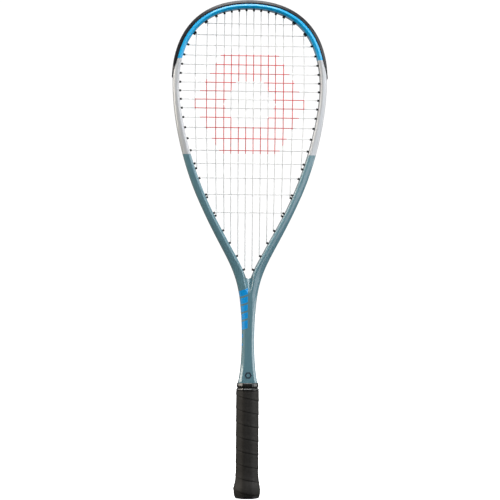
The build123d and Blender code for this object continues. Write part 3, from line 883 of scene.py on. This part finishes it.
grip = {
    "faces": [(0, 15.8), (44.06, 14.48), (90, 13.8)],
    "sharpness": 13,
    "bottom": 3.0,
    "top": 148.0,
    "pitch": 18.7,
    "frontSeam": 25.4,
    "stepsPerTurn": 120,
    "swell": 3.1,
    "swellAt": [(0.0, 0.4), (3.0, 0.58), (7.5, 0.9), (13.0, 1.0), (18.5, 0.62), (24.0, 0.22), (36.0, 0.0),
                (200.0, 0.0)],
    # share of the turn from its lower edge, and how far it stands off the sleeve beneath
    "lap": [(0.0, -0.9), (0.0, -0.1), (0.012, 0.22), (0.04, 0.34), (0.1, 0.28), (0.22, 0.1), (0.45, 0.0),
            (0.75, -0.05), (0.93, -0.12), (1.0, -0.3), (1.05, -0.55), (1.05, -0.95)],
}


def eightSided(angle, faces, sharpness, grow=0.0):
    # distance from the axis to a rounded eight-sided outline
    total = 0.0
    for turn, distance in faces:
        for sign in ({1, -1} if 0 < turn < 90 else {1}):
            for flip in (1, -1):
                facing = radians(turn * sign)
                share = flip * cos(angle - facing) / (distance + grow)
                if share > 0:
                    total += share**sharpness
    return total ** (-1 / sharpness)


def gripPoint(turns, across):
    angle = -pi / 2 - turns * 2 * pi
    share, stand = across
    z = min(max(grip["frontSeam"] + grip["pitch"] * (turns + share), grip["bottom"]), grip["top"])
    swell = grip["swell"] * valueAt(grip["swellAt"], z, eased=True)
    radius = eightSided(angle, grip["faces"], grip["sharpness"], swell + stand)
    return radius * cos(angle), radius * sin(angle), z


def buildGrip():
    first = (grip["bottom"] - grip["frontSeam"]) / grip["pitch"] - 1.05
    last = (grip["top"] - grip["frontSeam"]) / grip["pitch"]
    rows = int((last - first) * grip["stepsPerTurn"])
    lap = grip["lap"]
    piece = drawnSheet("gripWrap", len(lap), rows,
                       lambda c, r: gripPoint(first + (last - first) * r / rows, lap[c % len(lap)]), closed=True)
    closeAndTurnOut(piece)
    smoothBelow(piece, 50)
    return piece


gripWrap = buildGrip()
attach(gripWrap, "root")
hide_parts("grip_wrap")


def makeGripMaterial():
    # perforated polyurethane on felt: black, tacky, pebbled, with rows of fine holes
    material, tree, surface, coords = startMaterial("perforatedPolyurethane", **{
        "Roughness": 0.58, "IOR": 1.46, "Specular IOR Level": 0.42})
    grain = noiseOn(tree, coords, 420.0, 5.0, 0.7)
    tone = spread(tree, grain, 0.3, 0.75, 0.0, 1.0)
    colour = mixColours(tree, tone, linearColour("#1A1815"), linearColour("#2B2824"))
    tree.links.new(colour, surface.inputs["Base Color"])
    holes = addNode(tree, "ShaderNodeTexVoronoi", {"Vector": coords.outputs["Object"], "Scale": 420.0,
                                                   "Randomness": 0.15})
    pits = spread(tree, holes.outputs["Distance"], 0.12, 0.3, 0.0, 1.0)
    bumpSurface(tree, surface, maths(tree, "ADD", pits, grain), 0.35, 0.3)
    return material


giveMaterial(gripWrap, makeGripMaterial())
print("grip is wound:", len(gripWrap.data.polygons), "faces")


# collar: a moulded rubber ring with one groove, sitting over the grip's top edge

collarRing = {
    "faces": [(0, 15.5), (45, 14.6), (90, 13.5)],
    "sharpness": 22,
    # height above the bottom, and how far the outside stands back from the bottom's size
    "profile": [(0.0, 0.25), (0.25, 0.05), (0.8, 0.0), (1.4, 0.04), (1.7, 0.16), (3.3, 1.5), (3.55, 1.55),
                (4.0, 1.2), (4.5, 0.7), (5.1, 0.55), (6.2, 0.6), (7.6, 0.7), (9.0, 0.9), (9.9, 1.1), (10.4, 1.6), (10.6, 2.2)],
    "bore": [10.6, 8.0, 4.0, 0.0],
    "boreFaces": [(0, 13.15), (45, 13.4), (90, 10.65)],
    "boreSharpness": 26,
    "columns": 96,
    "foot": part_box("grip_collar")[0].z / mm,
}


def collarPlace(column, row):
    ring = collarRing["profile"] + [(rise, None) for rise in collarRing["bore"]]
    rise, back = ring[row % len(ring)]
    angle = 2 * pi * (column % collarRing["columns"]) / collarRing["columns"]
    if back is None:
        radius = eightSided(angle, collarRing["boreFaces"], collarRing["boreSharpness"])
    else:
        radius = eightSided(angle, collarRing["faces"], collarRing["sharpness"], -back)
    return radius * cos(angle), radius * sin(angle), collarRing["foot"] + rise


collarRows = len(collarRing["profile"]) + len(collarRing["bore"])
gripCollar = drawnSheet("gripCollar", collarRing["columns"], collarRows, collarPlace)
closeAndTurnOut(gripCollar)
smoothBelow(gripCollar, 45)
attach(gripCollar, "collar")
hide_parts("grip_collar")


def makeRubber():
    # moulded rubber: black, satin, a faint bloom
    material, tree, surface, coords = startMaterial("mouldedRubber", **{"IOR": 1.52})
    bloom = noiseOn(tree, coords, 220.0, 4.0)
    tone = mixColours(tree, bloom, linearColour("#121211"), linearColour("#232321"))
    tree.links.new(tone, surface.inputs["Base Color"])
    tree.links.new(spread(tree, bloom, 0.3, 0.7, 0.16, 0.26), surface.inputs["Roughness"])
    return material


giveMaterial(gripCollar, makeRubber())
print("collar is done")


# parts kept from the CAD model: cap, badge, pallet, tape, staples and tack

def makePlain(name, low, high, roughness, scale, bumpHeight, metallic=0.0):
    material, tree, surface, coords = startMaterial(name, **{"Metallic": metallic})
    grain = noiseOn(tree, coords, scale, 4.0)
    tree.links.new(mixColours(tree, grain, linearColour(low), linearColour(high)), surface.inputs["Base Color"])
    rough = spread(tree, grain, 0.3, 0.7, roughness - 0.05, roughness + 0.08)
    tree.links.new(rough, surface.inputs["Roughness"])
    bumpSurface(tree, surface, grain, 0.3, bumpHeight)
    return material


finishes = {
    # node: how it is made, darkest and lightest colour, roughness, grain scale, relief in mm, metallic
    "butt_cap": ("mouldedCapPlastic", "#0F0F10", "#1C1C1D", 0.42, 900.0, 0.05),
    "handle_pallet": ("mouldedFoamSkin", "#3A3833", "#57534B", 0.8, 600.0, 0.2),
    "finishing_tape": ("clothTape", "#0B0B0B", "#191919", 0.85, 1500.0, 0.1),
    "butt_badge": ("domedResin", "#0A63A8", "#0F79C4", 0.12, 60.0, 0.01),
    "cap_staples": ("drawnSteelWire", "#9A9A98", "#B9B9B6", 0.3, 1200.0, 0.02, 1.0),
}
for node, finish in finishes.items():
    giveMaterial(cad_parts[node], makePlain(*finish))
giveMaterial(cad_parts["wrap_tack"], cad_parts["cap_staples"].active_material)
print("kept parts have their finishes")

selectOnly()
